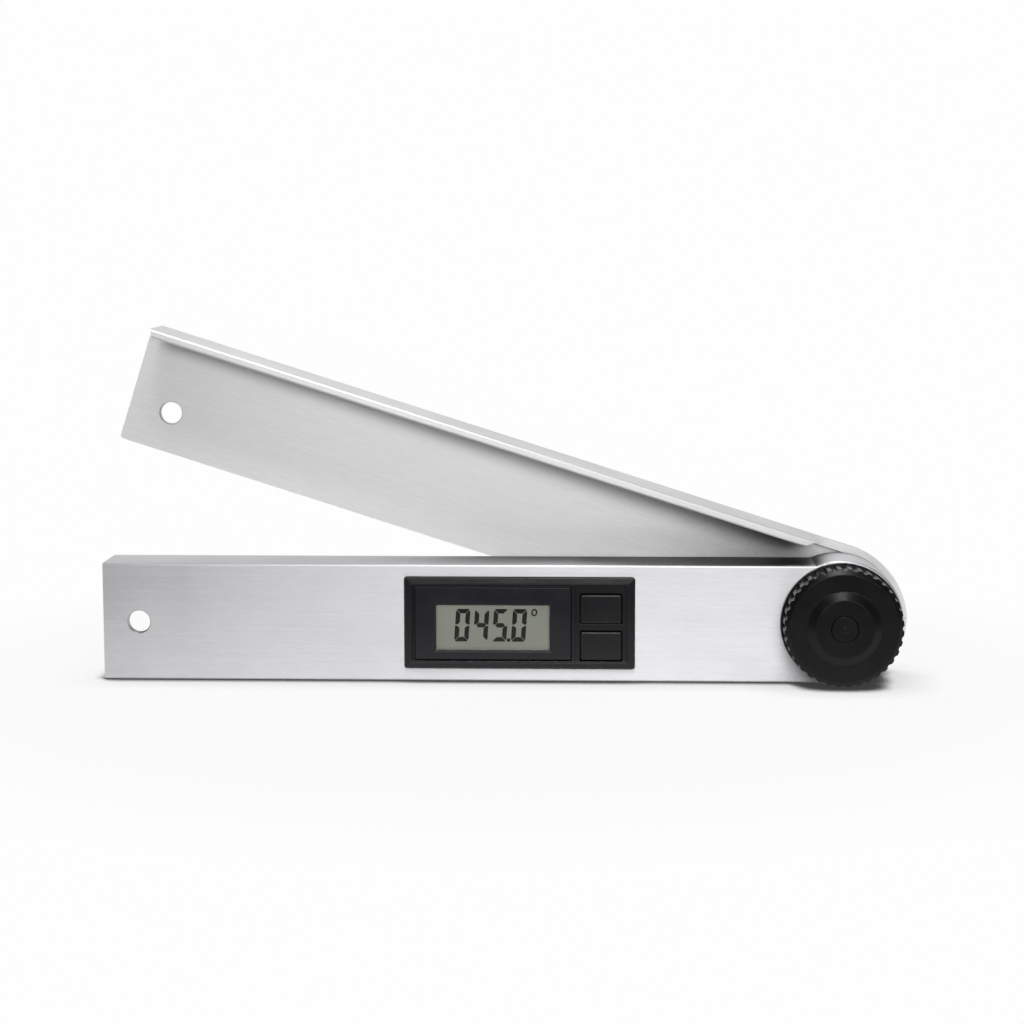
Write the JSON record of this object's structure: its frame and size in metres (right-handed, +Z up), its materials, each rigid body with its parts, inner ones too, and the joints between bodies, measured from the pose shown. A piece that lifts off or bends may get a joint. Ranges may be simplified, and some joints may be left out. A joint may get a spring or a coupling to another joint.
{
  "type": "angle finder",
  "caption": "Folding digital angle finder: a channel arm and a flanged outer arm on one pivot, with a scalloped lock knob, a small display and push buttons.",
  "frame": {"origin": "centre, in length and depth, of the base arm's flat rest face", "axes": "+X from the base arm's tip to the pivot, +Y away from the user, +Z up from the rest face"},
  "size_m": [0.2198, 0.0317, 0.0956],
  "materials": {
    "arm_metal": "fine lengthwise brushing, clear anodised",
    "knob_plastic": "black moulded, satin, faint turned lines on the face",
    "panel_plastic": "black moulded, low sheen",
    "plate_black": "black printed acrylic",
    "lens_clear": "clear",
    "lcd": "grey-green reflective display",
    "cover_plastic": "black moulded, fine texture",
    "seal_rubber": "soft",
    "board_green": "solder mask",
    "steel": "bright",
    "bronze": "turned",
    "switch_metal": "tinned",
    "flat_cable": "white polyester",
    "washer_plastic": "natural acetal"
  },
  "bodies": {
    "base": {"base_arm": "arm_metal", "back_cover": "cover_plastic", "cover_screws": "steel", "pivot_bush": "bronze", "bezel_frame": "panel_plastic", "display_plate": "plate_black", "window_lens": "lens_clear", "lcd_glass": "lcd", "lcd_holder": "cover_plastic", "elastomer_strips": "seal_rubber", "circuit_board": "board_green", "board_screws": "steel", "button_switches": "switch_metal", "encoder_stator": "board_green", "stator_screws": "steel", "ribbon_cable": "flat_cable", "battery_cell": "steel", "battery_tray": "cover_plastic", "battery_contact": "steel", "battery_clip": "steel"},
    "blade": {"outer_arm": "arm_metal", "pivot_shaft": "steel", "encoder_rotor": "board_green", "rotor_carrier": "cover_plastic", "friction_washer": "washer_plastic"},
    "knob_carrier": {"thrust_washer": "steel"},
    "knob": {"knob_body": "knob_plastic", "knob_insert": "bronze", "knob_cap": "knob_plastic"},
    "hold_button": {"hold_button": "panel_plastic"},
    "zero_button": {"zero_button": "panel_plastic"},
    "battery_door": {"battery_door": "cover_plastic", "door_seal": "seal_rubber"}
  },
  "joints": [
    {"name": "arm_swing", "type": "hinge", "parent": "base", "child": "blade", "pos_m": [0.09155, 0, 0.0166], "axis": [0, 1, 0], "range_deg": [-17.7, 207.3]},
    {"name": "knob_lift", "type": "slide", "parent": "blade", "child": "knob_carrier", "axis": [0, -1, 0], "range_m": [0, 0.0005]},
    {"name": "knob_turn", "type": "hinge", "parent": "knob_carrier", "child": "knob", "pos_m": [0.09155, 0, 0.0166], "axis": [0, -1, 0], "range_deg": [0, 180]},
    {"name": "hold_press", "type": "slide", "parent": "base", "child": "hold_button", "axis": [0, 1, 0], "range_m": [0, 0.0008], "stiffness_N_per_m": 600, "springref_m": -0.0005},
    {"name": "zero_press", "type": "slide", "parent": "base", "child": "zero_button", "axis": [0, 1, 0], "range_m": [0, 0.0008], "stiffness_N_per_m": 600, "springref_m": -0.0005},
    {"name": "door_twist", "type": "hinge", "parent": "base", "child": "battery_door", "pos_m": [0.0049, 0, 0.016], "axis": [0, 1, 0], "range_deg": [0, 45]}
  ],
  "couplings": [
    {"joint": "knob_turn", "follows": "knob_lift", "rad_per_m": 6283}
  ]
}
